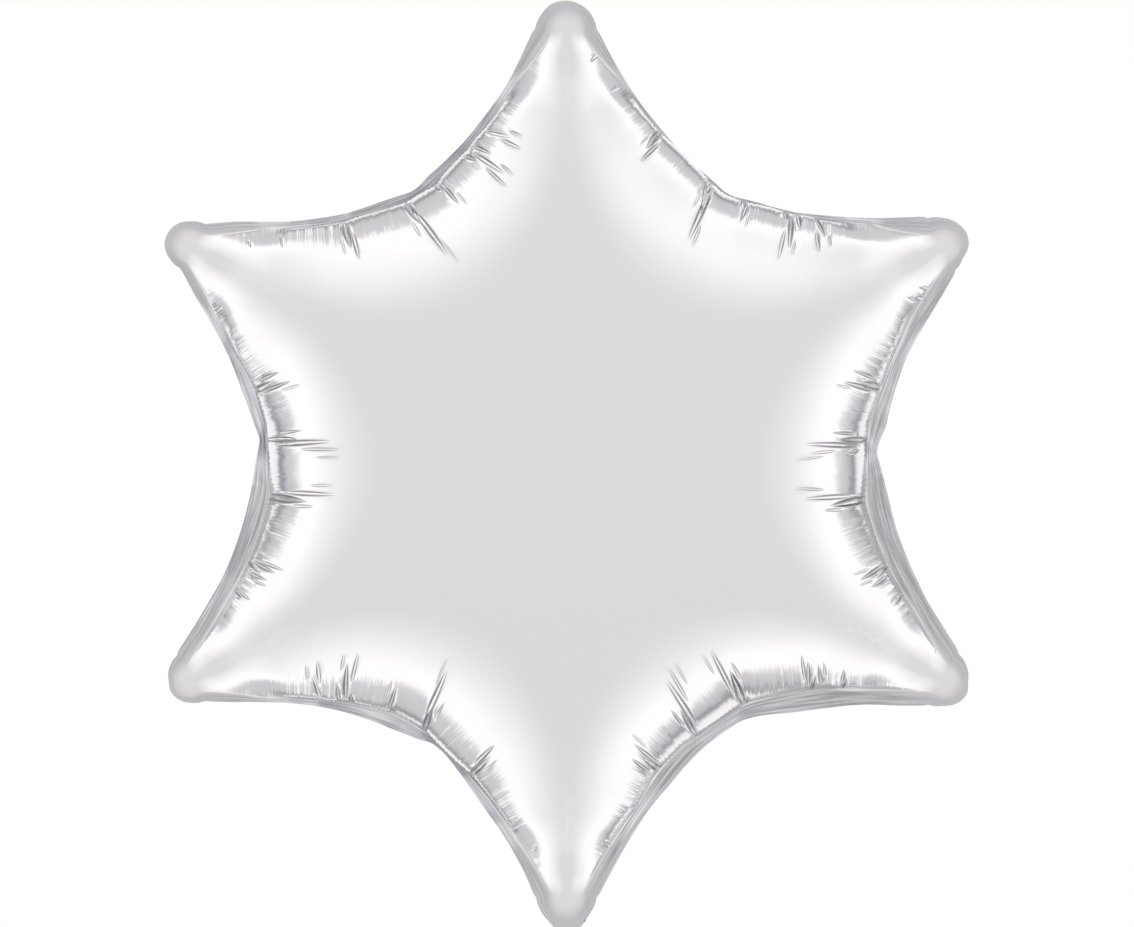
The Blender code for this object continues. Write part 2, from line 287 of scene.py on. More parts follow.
# Finishes: colour of the bright film, of the shade painted into its folds, and of the pressed
# margin: plain at the tips, and elsewhere streaked between a dark grey, painted shade in the low
# streaks of its crimp, and a light grey, painted sheen on the high ones
BRIGHT_FILM = (0.905, 0.88, 0.889)
FOLD_SHADE = (0.20, 0.20, 0.23)
TIP_MARGIN_GREY = (0.66, 0.655, 0.68)
ROLLED_SHADE_AND_SHEEN_GREYS = ((0.42, 0.42, 0.45), (0.82, 0.81, 0.83))

# Tent of light round the balloon: its shade by degrees from the front
TENT_SHADES = (
    (0, 0.80), (54, 0.80), (66, 0.90), (80, 1.06), (88, 1.16), (100, 1.16), (105, 0.84),
    (109, 0.70), (118, 0.62), (125, 0.52), (129, 0.32), (134, 0.32), (139, 0.85),
    (144, 1.0), (165, 1.0), (180, 0.9),
)
# It is darker far round at three of its sides: waves round it by their count, height and
# the degrees at which they start
TENT_WAVES = ((1, 0.334, -30), (2, 0.578, 15), (3, -0.167, 30))
# Shades darker than the first number turn a little to green and to blue
COOL_BELOW = 0.80
COOL_TURN = (0.1, 0.25)


def off_tip(angle):
    """Degrees from an angle to the nearest tip."""
    return np.minimum(angle % POINT_TURN, POINT_TURN - angle % POINT_TURN)


def edge_reach(angle):
    """Distance from the middle to the cut edge of the even star."""
    off = off_tip(angle)
    turn = np.radians(off)
    tip_centre = TIP_REACH - TIP_ROUND
    across = tip_centre * np.sin(turn)
    inside = np.maximum(TIP_ROUND ** 2 - across ** 2, 0)
    tip = tip_centre * np.cos(turn) + np.sqrt(inside)
    from_valley = np.radians(HALF_TURN - off)
    side_reach = np.full_like(turn, VALLEY_REACH)
    # The side's reach depends on itself, and settles within these rounds
    for _ in range(60):
        side = side_reach * np.sin(from_valley)
        eased = np.hypot(side, VALLEY_CORE) - VALLEY_CORE
        rise = EDGE_SLOPE * eased + EDGE_CURVE * side ** 2
        side_reach = (VALLEY_REACH + rise) / np.cos(from_valley)
    return np.where(across < TIP_ROUND * np.cos(turn), tip, side_reach)


def edge_points(angle):
    turn = np.radians(angle)
    reach = edge_reach(angle)
    return np.stack([reach * np.sin(turn), reach * np.cos(turn)], -1)


def even_weld_points(angle):
    """The weld line of the even star that the solids have."""
    before = edge_points(angle - 1)
    after = edge_points(angle + 1)
    along = after - before
    along /= np.linalg.norm(along, axis=-1, keepdims=True)
    width = MARGIN + (TIP_MARGIN - MARGIN) * np.maximum(0, 1 - off_tip(angle) / TIP_SPREAD)
    inward = np.stack([along[..., 1], -along[..., 0]], -1)
    return edge_points(angle) + inward * width[..., None]


def dome_waves(plan):
    """What each wave of the dome gives at a place, and the fall that they make up for."""
    reach = np.hypot(plan[..., 0], plan[..., 1]) / TIP_REACH
    turn = np.arctan2(plan[..., 0], plan[..., 1])
    counts = range(POINTS, POINTS * DOME_WAVES + 1, POINTS)
    waves = [reach ** count * np.cos(count * turn) for count in counts]
    return np.stack([np.ones_like(reach)] + waves, -1), reach ** 2


def fit_dome():
    """Weights of the waves that bring the face down to nothing along the even weld."""
    waves, fall = dome_waves(even_weld_points(np.linspace(0, HALF_TURN, 121)))
    return np.linalg.lstsq(waves, fall, rcond=None)[0]


DOME_WEIGHTS = fit_dome()


def dome_level(plan):
    waves, fall = dome_waves(plan)
    return (waves @ DOME_WEIGHTS - fall) / DOME_WEIGHTS[0]


class Seam:
    """Cut edge and weld of the star, in even steps of travel along the even outline."""

    def __init__(self):
        angle = np.linspace(0, 360, 36001)
        line = edge_points(angle)
        steps = np.linalg.norm(np.diff(line, axis=0), axis=1)
        run = np.concatenate([[0], np.cumsum(steps)])
        self.length = run[-1]
        self.count = 4 * int(self.length / MM)
        self.step = self.length / self.count
        self.travel = np.arange(self.count) * self.step
        self.angle = np.interp(self.travel, run, angle)
        self.line = edge_points(self.angle)
        self.inward = self.inward_of(self.line, 10)
        self.cut_in = self.smooth_row(CUT_EDGE, CUT_AT_TIP)
        self.weld_in = self.smooth_row(WELD_EDGE, WELD_AT_TIP)
        self.weld = self.line + self.inward * self.weld_in[:, None]
        self.weld_inward = self.inward_of(self.weld, 8)
        self.off_tip = off_tip(self.angle)
        self.spare_level = dome_level(self.weld)
        tip_turn = np.radians(np.round(self.angle / POINT_TURN) * POINT_TURN)
        tips = TIP_REACH * np.stack([np.sin(tip_turn), np.cos(tip_turn)], -1)
        from_tip = np.linalg.norm(self.weld - tips, axis=1)
        self.ease = np.clip(EASE_SHARE * from_tip, EASE_LEAST * MM, EASE_MOST * MM)
        self.tree = KDTree(self.count)
        for i, (x, z) in enumerate(self.weld):
            self.tree.insert((x, z, 0), i)
        self.tree.balance()
        self.beaks = [self.find_beak(tip) for tip in range(POINTS)]

    def find_beak(self, tip):
        """The end of a point's weld, its two directions, and its half widths on each side."""
        turn = math.radians(POINT_TURN * tip)
        axis = np.array([math.sin(turn), math.cos(turn)])
        side = np.array([axis[1], -axis[0]])
        near = np.abs((self.angle - POINT_TURN * tip + 180) % 360 - 180) < HALF_TURN - 1
        down, across = self.weld[near] @ axis, self.weld[near] @ side
        end = down.max()
        widths = []
        for way in (-1, 1):
            on = across * way > 0
            order = np.argsort(-down[on])
            widths.append((end - down[on][order], np.abs(across[on][order])))
        return end, axis, side, widths

    def inward_of(self, line, reach):
        along = np.roll(line, -reach, 0) - np.roll(line, reach, 0)
        along /= np.linalg.norm(along, axis=1, keepdims=True)
        return np.stack([along[:, 1], -along[:, 0]], -1)

    def valley_travel(self, valley):
        return np.interp(valley, self.angle, self.travel)

    def smooth_row(self, rows, at_tip):
        """A table's value at every step, smooth through its stations and the tips."""
        places, values = [0.0], [at_tip[0]]
        for valley in sorted(rows):
            centre = self.valley_travel(valley) / MM
            places += [centre + station for station in STATIONS]
            values += list(rows[valley])
            places.append(self.length / MM * (valley + HALF_TURN) / 360)
            values.append(at_tip[(valley + HALF_TURN) % 360])
        level = np.interp(self.travel / MM, places, values)
        reach = 20
        spread = np.exp(-((np.arange(-reach, reach + 1) / 8.0) ** 2))
        spread /= spread.sum()
        ringed = np.concatenate([level[-reach:], level, level[:reach]])
        return np.convolve(ringed, spread, "valid") * MM

    def value(self, row, travel):
        return np.interp(np.asarray(travel) % self.length, self.travel, row, period=self.length)

    def points(self, row, travel):
        return np.stack([self.value(row[:, k], travel) for k in (0, 1)], -1)

    def at(self, travel, away):
        """Points that lie away metres inside the even outline at a travel."""
        way = self.points(self.inward, travel)
        way /= np.linalg.norm(way, axis=-1, keepdims=True)
        return self.points(self.line, travel) + way * np.asarray(away)[..., None]

    def nearest(self, plan):
        """Travel of the weld point nearest to each point, and how far inside it lies."""
        found = np.array([self.tree.find((x, z, 0))[1] for x, z in plan])
        best = np.full(len(plan), 1.0)
        travel = np.zeros(len(plan))
        for first in ((found - 1) % self.count, found):
            start = self.weld[first]
            way = self.weld[(first + 1) % self.count] - start
            share = ((plan - start) * way).sum(1) / (way * way).sum(1)
            share = np.clip(share, 0, 1)
            away = np.linalg.norm(plan - start - way * share[:, None], axis=1)
            nearer = away < best
            best[nearer] = away[nearer]
            travel[nearer] = (self.travel[first] + share * self.step)[nearer]
        side = ((plan - self.weld[found]) * self.weld_inward[found]).sum(1)
        return travel % self.length, np.where(side < 0, -best, best)


SEAM = Seam()


def film_height(plan, travel, away):
    """Height of the blown up face, which comes down to nothing on the real weld."""
    spare = SEAM.value(SEAM.spare_level, travel)
    ease = SEAM.value(SEAM.ease, travel)
    level = dome_level(plan) - spare * np.exp(-((away / ease) ** 2))
    high = DOME_HEIGHT * np.maximum(level, 0) ** DOME_POWER
    # The even dome says nothing beyond its own weld, so the beak alone shapes the end
    start, end, lift = BEAK_ALONE
    reach = np.hypot(plan[..., 0], plan[..., 1])
    share = np.clip((reach - start) / (end - start), 0, 1)
    high = high + lift * share * share * (3 - 2 * share)
    low = beak_height(plan)
    # The lower of the two, with a soft change from one to the other
    return (np.maximum(high, 1e-7) ** -4 + np.maximum(low, 1e-7) ** -4) ** -0.25


def beak_height(plan):
    """How high the narrow end of a point lets the film rise: a keel that falls to its weld."""
    low = np.full(plan.shape[:-1], 1.0)
    turn = np.degrees(np.arctan2(plan[..., 0], plan[..., 1]))
    nearest_tip = np.round(turn / POINT_TURN).astype(int) % POINTS
    for tip, (end, axis, side, widths) in enumerate(SEAM.beaks):
        down, across = end - plan @ axis, plan @ side
        here = (nearest_tip == tip) & (down < BEAK_REACH * MM)
        down, across = down[here] / MM, across[here] / MM
        left, right = (np.interp(down * MM, *width) / MM for width in widths)
        half = np.maximum(np.where(across < 0, left, right), 0.1)
        down = np.maximum(down, 0)
        keel = (BEAK_SLOPE * down + BEAK_GROWTH * down ** 2) * (1 + (down / BEAK_END) ** 6)
        low[here] = keel * np.maximum(1 - (across / half) ** 2, 0) * MM
    return low


class Blade:
    """A slender blade of folded film, from its start to its tip on the plan."""

    def __init__(self, start, tip, half, lean):
        self.start = start
        self.half = half
        self.lean = lean
        way = tip - start
        self.length = np.linalg.norm(way)
        self.way = way / self.length
        self.side = np.array([self.way[1], -self.way[0]])

    def fullness(self, share):
        return np.sin(np.pi * np.clip(share, 0, 1) ** 0.8) ** 0.75

    def width(self, share):
        return self.half * (0.18 + 0.82 * self.fullness(share))

    def place(self, plan):
        """Share of the blade's length, and the place across it in half widths."""
        share = (plan - self.start) @ self.way / self.length
        return share, (plan - self.start) @ self.side / self.width(share)

    def near(self, plan):
        """Numbers of the points close to the blade, with their share and place across."""
        share, across = self.place(plan)
        near = np.flatnonzero((share > -0.1) & (share < 1.1) & (np.abs(across) < 4))
        return near, share[near], across[near]

    def lines(self):
        """Rows of points that follow the blade, closer where the wall is steep."""
        share = np.linspace(-0.04, 1.04, 200)
        middle = self.start + self.way * (share * self.length)[:, None]
        height = film_height(middle, *SEAM.nearest(middle))
        steps = np.hypot(np.diff(share) * self.length, np.diff(height))
        run = np.concatenate([[0], np.cumsum(steps)])
        count = int(np.clip(run[-1] / (BLADE_STEP * MM), 6, 15))
        stations = np.interp(np.linspace(0, run[-1], count), run, share)
        for across in ACROSS:
            along = self.start + self.way * (stations * self.length)[:, None]
            yield along + self.side * (across * self.width(stations))[:, None]


def blade_list(seed, jitter):
    rng = np.random.default_rng(seed)
    blades = []
    for valley, rows in BLADES.items():
        centre = SEAM.valley_travel(valley)
        for along0, in0, along1, in1, half in rows:
            shift = jitter * rng.uniform(-1, 1)
            stretch = 1 + 0.1 * jitter * rng.uniform(-1, 1)
            start = SEAM.at(centre + (along0 + shift) * MM, in0 * MM)
            tip = SEAM.at(centre + (along1 + shift) * MM, in1 * stretch * MM)
            blades.append(Blade(start, tip, half * MM, rng.uniform(-1, 1)))
    return blades


def pinch_list(seed, jitter):
    rng = np.random.default_rng(seed)
    found = []
    for valley, rows in PINCHES.items():
        centre = SEAM.valley_travel(valley)
        for along, power in rows:
            found.append((centre + (along + jitter * rng.uniform(-1, 1)) * MM, power))
    return sorted(found)


def rib_list(seed):
    """Travel, height and length of the small ribs all along the wall."""
    rng = np.random.default_rng(seed)
    travel, rise, reach = [0.0], [0.0], [8.0]
    while travel[-1] < SEAM.length - RIB_GAP[1] * 2 * MM:
        travel.append(travel[-1] + rng.uniform(*RIB_GAP) * MM)
        rise.append((1 if len(travel) % 2 else -1) * rng.uniform(0.2, 1.0) ** 1.5)
        reach.append(rng.uniform(12, 26))
    return np.array(travel), np.array(rise), np.array(reach) * MM


def wall_points(ribs):
    """Rows of points up the wall from each rib, with the gap that each point keeps."""
    travel = ribs[0]
    weld = SEAM.points(SEAM.weld, travel)
    inward = SEAM.points(SEAM.weld_inward, travel)
    inward /= np.linalg.norm(inward, axis=1, keepdims=True)
    away = WALL_REACH * MM * np.linspace(0, 1, 220)[:, None] ** 2.4 * np.ones(len(travel))
    plan = weld + inward * away[..., None]
    height = film_height(plan, np.broadcast_to(travel, away.shape), away)
    steps = np.hypot(np.diff(away, axis=0), np.diff(height, axis=0))
    run = np.concatenate([np.zeros((1, len(travel))), np.cumsum(steps, axis=0)])
    places, gaps = [], []
    for number, climb in enumerate(ROWS):
        step = 1 if climb < SPARSE_FROM else 3
        columns = range(number % step, len(travel), step)
        lower = ROWS[number - 1] if number else 0.0
        inside, below = (
            np.array([np.interp(level * MM, run[:, c], away[:, c]) for c in columns])
            for level in (climb, lower)
        )
        place = weld[columns] + inward[columns] * inside[:, None]
        # A point beyond the ridge lies nearer to the weld of the other side, and is left out
        own = SEAM.nearest(place)[1] > inside - 0.2 * (inside - below) - 0.02 * MM
        places.append(place[own])
        gaps.append(np.minimum(0.45 * (inside - below), 0.6 * MM)[own])
    return np.concatenate(places), np.concatenate(gaps)


def crown_points():
    """An even grid over the crown, and a line of points down each ridge."""
    spacing = CROWN_GRID * MM
    row_gap = 0.866
    rows = int(TIP_REACH / (spacing * row_gap)) + 1
    grid = []
    for row in range(-rows, rows + 1):
        shift = 0.5 * spacing * (row % 2)
        grid += [(col * spacing + shift, row * spacing * row_gap) for col in range(-rows, rows)]
    ridge = np.arange(120, 240, RIDGE_STEP) * MM
    for tip in range(POINTS):
        turn = math.radians(POINT_TURN * tip)
        grid += [(r * math.sin(turn), r * math.cos(turn)) for r in ridge]
    grid = np.array(grid)
    away = SEAM.nearest(grid)[1]
    return grid[away > 3 * MM]


def spread_out(fixed, points, gaps):
    """Leave out each point that lies closer to an earlier one than its gap."""
    every = np.concatenate([fixed, points])
    gaps = np.concatenate([np.zeros(len(fixed)), gaps])
    tree = KDTree(len(every))
    for i, (x, z) in enumerate(every):
        tree.insert((x, z, 0), i)
    tree.balance()
    kept = np.ones(len(every), bool)
    for i in range(len(fixed), len(every)):
        x, z = every[i]
        for _, other, _ in tree.find_range((x, z, 0), gaps[i]):
            if other < i and kept[other]:
                kept[i] = False
                break
    return points[kept[len(fixed):]]


def film_net(ribs, blades):
    """Triangles of one panel inside the weld, on the plan, with the weld's own points."""
    rim = SEAM.points(SEAM.weld, ribs[0])
    lines, edges = [], []
    count = len(rim)
    for blade in blades:
        for line in blade.lines():
            inside = SEAM.nearest(line)[1] > 0.12 * MM
            numbers = range(count, count + int(inside.sum()))
            edges += zip(numbers, numbers[1:])
            lines.append(line[inside])
            count += len(numbers)
    fold_points = np.concatenate(lines)
    wall, gaps = wall_points(ribs)
    crown = crown_points()
    loose = np.concatenate([wall, crown])
    gaps = np.concatenate([gaps, np.full(len(crown), 0.45 * CROWN_GRID * MM)])
    clear = np.ones(len(loose), bool)
    for blade in blades:
        share, across = blade.place(loose)
        clear &= ~((np.abs(across) < 2.15) & (share > -0.06) & (share < 1.06))
    loose = spread_out(rim, loose[clear], gaps[clear])
    points = [Vector(p) for p in np.concatenate([rim, fold_points, loose])]
    border = list(range(len(rim)))[::-1]
    places, _, triangles, sources, _, within = delaunay_2d_cdt(
        points, edges, [border], 1, NET_MERGE, True
    )
    plan = np.array([tuple(p) for p in places])
    rim_ids = np.zeros(len(rim), int)
    for number, merged in enumerate(sources):
        for source in merged:
            if source < len(rim):
                rim_ids[source] = number
    faces = [tuple(face) for face, inside in zip(triangles, within) if inside]
    return plan, faces, rim_ids


def fold_push(plan, blades):
    """How far the blades push the film along its normal: the deepest groove, the highest lip."""
    groove = np.zeros(len(plan))
    lip = np.zeros(len(plan))
    for blade in blades:
        near, share, across = blade.near(plan)
        deep = GROOVE_DEPTH * blade.half * blade.fullness(share)
        inside = np.maximum(1 - np.abs(across) ** 3, 0)
        bottom = deep * inside * (1 + 0.35 * blade.lean * across)
        rim = LIP_HEIGHT * deep * np.exp(-(((np.abs(across) - 1.25) / 0.32) ** 2))
        groove[near] = np.minimum(groove[near], -bottom)
        lip[near] = np.maximum(lip[near], rim)
    return groove + np.where(groove < -0.05 * MM, 0.3, 1.0) * lip


def painted_fold_shade_lines(plan, blades):
    """Painted shade along the two edges of each blade, where the film is creased hard."""
    line = np.zeros(len(plan))
    for blade in blades:
        near, share, across = blade.near(plan)
        full = blade.fullness(share) ** 0.5 * min(blade.half / (1.2 * MM), 1.0)
        sharp = np.exp(-(((np.abs(across) - 0.85) / 0.4) ** 2))
        side = 0.75 + 0.25 * np.sign(across) * np.sign(blade.lean)
        line[near] = np.maximum(line[near], full * sharp * side)
    return line


def link_push(travel, away, pinches):
    """The wall swells between neighbouring pinches, like the links of a chain."""
    stops = np.array([p[0] for p in pinches])
    powers = np.array([p[1] for p in pinches])
    after = np.searchsorted(stops, travel) % len(stops)
    before = (after - 1) % len(stops)
    gap = (stops[after] - stops[before]) % SEAM.length
    share = ((travel - stops[before]) % SEAM.length) / gap
    swell = 1 - (2 * share - 1) ** 2
    size = np.minimum(powers[after], powers[before]) * np.minimum(gap / (SWELL_FULL * MM), 1.0)
    size = np.where(gap > SWELL_LONGEST * MM, 0.0, size)
    point = np.floor(SEAM.value(SEAM.angle, travel) / POINT_TURN)
    valley = (point * POINT_TURN + HALF_TURN).astype(int) % 360
    size = size * np.vectorize(SWELLS.get)(valley)
    return MM * swell * size * np.exp(-((away / (SWELL_FADE * MM)) ** 2))


def rib_push(travel, away, ribs):
    places, rise, reach = ribs
    level = np.interp(travel, places, rise, period=SEAM.length)
    reach = np.interp(travel, places, reach, period=SEAM.length)
    off = SEAM.value(SEAM.off_tip, travel)
    reach = np.minimum(reach, np.maximum(off - 1.0, 0) * 0.9 * MM + 0.5 * MM)
    calm = np.clip((off - 2.5) / 8, 0, 1)
    return RIB_HEIGHT * level * calm * np.exp(-((away / reach) ** 3))


def film_surface(plan, blades, pinches, ribs):
    """Place of each point of the film, and the rows of numbers that its finish reads."""
    travel, away = SEAM.nearest(plan)
    away = np.maximum(away, 0)
    height = film_height(plan, travel, away)
    # Its normal comes from the heights a little way off on each side
    slope = []
    reach = 0.06 * MM
    for step in ((reach, 0.0), (0.0, reach)):
        ahead = plan + np.array(step)
        behind = plan - np.array(step)
        rise = film_height(ahead, *positive(SEAM.nearest(ahead)))
        fall = film_height(behind, *positive(SEAM.nearest(behind)))
        slope.append((rise - fall) / (2 * reach))
    normal = np.stack([-slope[0], -np.ones(len(plan)), -slope[1]], -1)
    normal /= np.linalg.norm(normal, axis=1, keepdims=True)
    hold = np.clip(height / (2.5 * MM), 0, 1)
    push = fold_push(plan, blades) + link_push(travel, away, pinches)
    push = (push + rib_push(travel, away, ribs)) * hold
    points = np.stack([plan[:, 0], -height, plan[:, 1]], -1) + normal * push[:, None]
    off = SEAM.value(SEAM.off_tip, travel)
    rows = {
        "travel": travel,
        "away": away,
        "crease": np.exp(-((away / (26 * MM)) ** 2)) * np.clip((off - 4) / 8, 0, 1),
        # Painted shade along the edges of the folds, which also makes the film rougher there
        "fold": painted_fold_shade_lines(plan, blades) * hold,
        "bright": brightness(travel, away),
    }
    return points, rows


def brightness(travel, away):
    """1 on the mirror bright film, 0 on the pressed margin, with a softer turn at the tips."""
    tip = np.clip(1 - SEAM.value(SEAM.off_tip, travel) / 12, 0, 1)
    spread = (0.6 + 5.0 * tip) * MM
    share = np.clip(0.5 + away / spread / 2, 0, 1)
    return share * share * (3 - 2 * share)


def positive(found):
    return found[0], np.maximum(found[1], 0)


def rippled(level, travel, counts, size, rng):
    """The level with ripples added all round, some counts of them, each from its own start."""
    for count in counts:
        turn = rng.uniform(0, 2 * np.pi)
        level = level + size * np.sin(2 * np.pi * count * travel / SEAM.length + turn)
    return level


def margin_rings(travel, pinches, seed):
    """Rings of the margin, weld to cut edge, which leans back where it looks narrow."""
    rng = np.random.default_rng(seed)
    weld = SEAM.points(SEAM.weld, travel)
    cut = SEAM.at(travel, SEAM.value(SEAM.cut_in, travel))
    visible = np.linalg.norm(cut - weld, axis=1)
    off = SEAM.value(SEAM.off_tip, travel)
    tip = np.clip(1 - off / 9, 0, 1)
    width = MARGIN_WIDTH * MM * (1 - tip) + visible * tip
    lean = np.sqrt(np.maximum(width ** 2 - visible ** 2, 0))
    lean = np.minimum(lean, visible * STEEPEST_MARGIN)
    # It lies flat at the tips, where the film round the neck's fold joins it
    lean *= np.clip((off - 2.0) / 9, 0, 1) ** 1.6
    wave = np.zeros(len(travel))
    for place, power in pinches:
        across = (travel - place + SEAM.length / 2) % SEAM.length - SEAM.length / 2
        size = power * rng.uniform(0.4, 1.1) * rng.choice([-1, 1])
        wave += size * np.exp(-((across / (6 * MM)) ** 2)) * np.cos(across / (4 * MM))
    wave = rippled(wave, travel, range(9, 60, 3), 0.16, rng) * (0.9 * MM * (1 - tip))
    dents = rippled(np.zeros(len(travel)), travel, range(14, 90, 5), 0.13, rng)
    rings = []
    for number in range(MARGIN_RINGS + 1):
        out = number / MARGIN_RINGS
        flat = weld + (cut - weld) * out
        bow = 0.5 * MM * dents * math.sin(math.pi * out) * (1 - tip)
        level = lean * out + wave * out ** 1.5 + bow
        rings.append(np.stack([flat[:, 0], level, flat[:, 1]], -1))
    return rings


def make_film(name, facing, ribs, blades, pinches, rings):
    """One panel of film: wall and crown inside the weld, and the margin round it."""
    plan, faces, rim_ids = film_net(ribs, blades)
    points, rows = film_surface(plan, blades, pinches, ribs)
    points[rim_ids, 1] = 0.0
    points[:, 1] -= FILM_LEVEL
    if facing > 0:
        points[:, 1] *= -1
    inner = [int(i) for i in rim_ids]
    for number, ring in enumerate(rings[1:], 1):
        first = len(points)
        shown = ring.copy()
        shown[:, 1] += facing * FILM_LEVEL
        points = np.concatenate([points, shown])
        out = np.full(len(ring), -number / MARGIN_RINGS * MARGIN)
        flat = np.zeros(len(ring))
        off = SEAM.value(SEAM.off_tip, ribs[0])
        added = {"travel": ribs[0], "away": out, "bright": brightness(ribs[0], out)}
        added["crease"] = np.clip((off - 1.5) / 6, 0, 1)
        for row in rows:
            rows[row] = np.concatenate([rows[row], added.get(row, flat)])
        outer = list(range(first, first + len(ring)))
        for i in range(len(ring)):
            j = (i + 1) % len(ring)
            faces.append((inner[i], inner[j], outer[j], outer[i]))
        inner = outer
    if facing > 0:
        faces = [face[::-1] for face in faces]
    return mesh_object(name, points, faces, rows)


def make_weld_band(rings):
    """The fused band between the two margins, a thin closed strip that waves with them."""
    inner, outer = rings[0], rings[-1]
    way = outer - inner
    outer = inner + way * (1 - BAND_INSET / np.linalg.norm(way, axis=1, keepdims=True))
    loops = []
    for ring, level in ((inner, -1), (outer, -1), (outer, 1), (inner, 1)):
        moved = ring.copy()
        moved[:, 1] += level * BAND_HALF
        loops.append(moved)
    count = len(inner)
    faces = []
    for number in range(4):
        one, other = number * count, (number + 1) % 4 * count
        for i in range(count):
            j = (i + 1) % count
            faces.append((one + i, one + j, other + j, other + i))
    return mesh_object("weld_band", np.concatenate(loops), faces, {})


def neck_place(across, out, up):
    """World place of a point given in the neck's own directions, folded up at rest."""
    x, y, z = NECK_FOLD
    lean_in, lean_up = math.sin(NECK_LEAN), math.cos(NECK_LEAN)
    across, out, up = np.broadcast_arrays(across, out, up)
    return np.stack(
        [x + across, y + out * lean_up + up * lean_in, z - out * lean_in + up * lean_up], -1
    )


def grid_faces(rows, columns, turned):
    faces = []
    for row in range(rows - 1):
        for column in range(columns - 1):
            first = row * columns + column
            face = (first, first + 1, first + columns + 1, first + columns)
            faces.append(face[::-1] if turned else face)
    return faces


def neck_half_width(up, length):
    spread = 1 - (1 - np.clip(up / NECK_SHOULDER, 0, 1)) ** 2.2
    half = NECK_ROOT_HALF + (NECK_HALF - NECK_ROOT_HALF) * spread
    into = np.clip(NECK_CORNER - (length - up), 0, NECK_CORNER)
    return half - NECK_CORNER + np.sqrt(NECK_CORNER ** 2 - into ** 2)


def make_neck_sheet(name, facing, length, seed):
    """One film of the neck: welded flat along both sides, soft and creased between them."""
    # Its rows stand closer at the mouth, where the corners are rounded
    up = np.concatenate([np.linspace(0, 0.046, 60), np.linspace(0.0466, length, 9)])
    up, share = np.meshgrid(up, np.linspace(-1, 1, 37), indexing="ij")
    across = share * neck_half_width(up, length)
    inner = np.clip(1 - (across / NECK_WELD_IN) ** 2, 0, 1)
    creases = np.zeros_like(across)
    rng = np.random.default_rng(seed)
    for pitch in NECK_CREASES:
        slant, turn = rng.uniform(-0.5, 0.5), rng.uniform(0, 2 * np.pi)
        phase = 2 * np.pi * (across + slant * up) / pitch + turn
        drift = 1 + 0.5 * np.sin(up * rng.uniform(150, 330) + turn)
        creases += 0.16 * pitch / NECK_CREASES[-1] * np.sin(phase) * drift
    for pitch in NECK_CROSS_CREASES:
        turn = rng.uniform(0, 2 * np.pi)
        creases += 0.07 * np.sin(2 * np.pi * up / pitch + 160 * across + turn)
    lift = 0.00006 + NECK_PUFF * inner ** 0.8 * (0.86 + 0.5 * creases)
    points = neck_place(across, NECK_MIDDLE + facing * lift, up).reshape(-1, 3)
    away = NECK_WELD_IN - np.abs(across)
    rows = {
        "travel": up + 0.07 * seed,
        "away": away,
        "crease": np.full_like(up, 0.55),
        # Painted shade on the film beside the neck's fold, fading within about two millimetres of
        # it
        "fold": np.clip(np.exp(-((up / 0.0012) ** 2)) * 0.5, 0, 1),
        "bright": np.clip(0.5 + away / 0.0005, 0, 1),
    }
    faces = grid_faces(*up.shape, facing > 0)
    return mesh_object(name, points, faces, {row: v.ravel() for row, v in rows.items()})


def model_neck_strip(name, left, right, first, last, thick, ripple):
    """A strip between the neck's two films: one of its side welds, or the valve's sleeve."""
    bpy.ops.object.select_all(action="DESELECT")
    bpy.ops.mesh.primitive_plane_add(
        size=1.0,
        location=tuple(neck_place((left + right) / 2, NECK_MIDDLE, (first + last) / 2)),
        rotation=(math.radians(90) - NECK_LEAN, 0, 0),
    )
    strip = bpy.context.object
    strip.name = strip.data.name = name
    strip.scale = (right - left, last - first, 1.0)
    bpy.ops.object.transform_apply(location=True, rotation=True, scale=True)
    bpy.ops.object.mode_set(mode="EDIT")
    bpy.ops.mesh.select_all(action="SELECT")
    bpy.ops.mesh.subdivide(number_cuts=24)
    bpy.ops.transform.vertex_random(offset=ripple, uniform=0.0, normal=1.0, seed=5)
    bpy.ops.mesh.vertices_smooth(factor=0.5, repeat=2)
    bpy.ops.object.mode_set(mode="OBJECT")
    wall = strip.modifiers.new("film_thickness", "SOLIDIFY")
    wall.thickness = thick
    wall.offset = 0.0
    bpy.ops.object.modifier_apply(modifier="film_thickness")
    edge = strip.modifiers.new("soft_edges", "BEVEL")
    edge.width = thick * 0.3
    edge.segments = 2
    bpy.ops.object.modifier_apply(modifier="soft_edges")
    strip.data.shade_smooth()
    strip.select_set(False)
    return strip


def make_fold_sheet():
    """The film that wraps round under the bottom point and joins its margin to the neck."""
    path = np.array(FOLD_PATH)
    step = np.linspace(0, len(path) - 1, 49)
    level = np.stack([np.interp(step, range(len(path)), path[:, k]) for k in (0, 1)], -1)
    for _ in range(6):
        for k in (0, 1):
            level[1:-1, k] = np.convolve(level[:, k], (0.25, 0.5, 0.25), "valid")
    share, number = np.meshgrid(np.linspace(-1, 1, 31), range(len(level)))
    below = 1 - np.clip((level[number, 1] - FOLD_LOWEST) / FOLD_RISE, 0, 1)
    half = NECK_ROOT_HALF + FOLD_WIDENING * (1 - below ** 2)
    pucker = 0.00006 * np.sin(share * 31 + number * 0.11) * np.sin(np.pi * number / len(level))
    points = np.stack([share * half, level[number, 0] + pucker, level[number, 1]], -1)
    flat = np.zeros(number.size)
    rows = dict.fromkeys(("crease", "fold", "bright"), flat)
    rows["travel"] = (share * half).ravel()
    rows["away"] = (number * 0.0002).ravel()
    faces = grid_faces(*number.shape, False)
    return mesh_object("neck_fold_sheet", points.reshape(-1, 3), faces, rows)


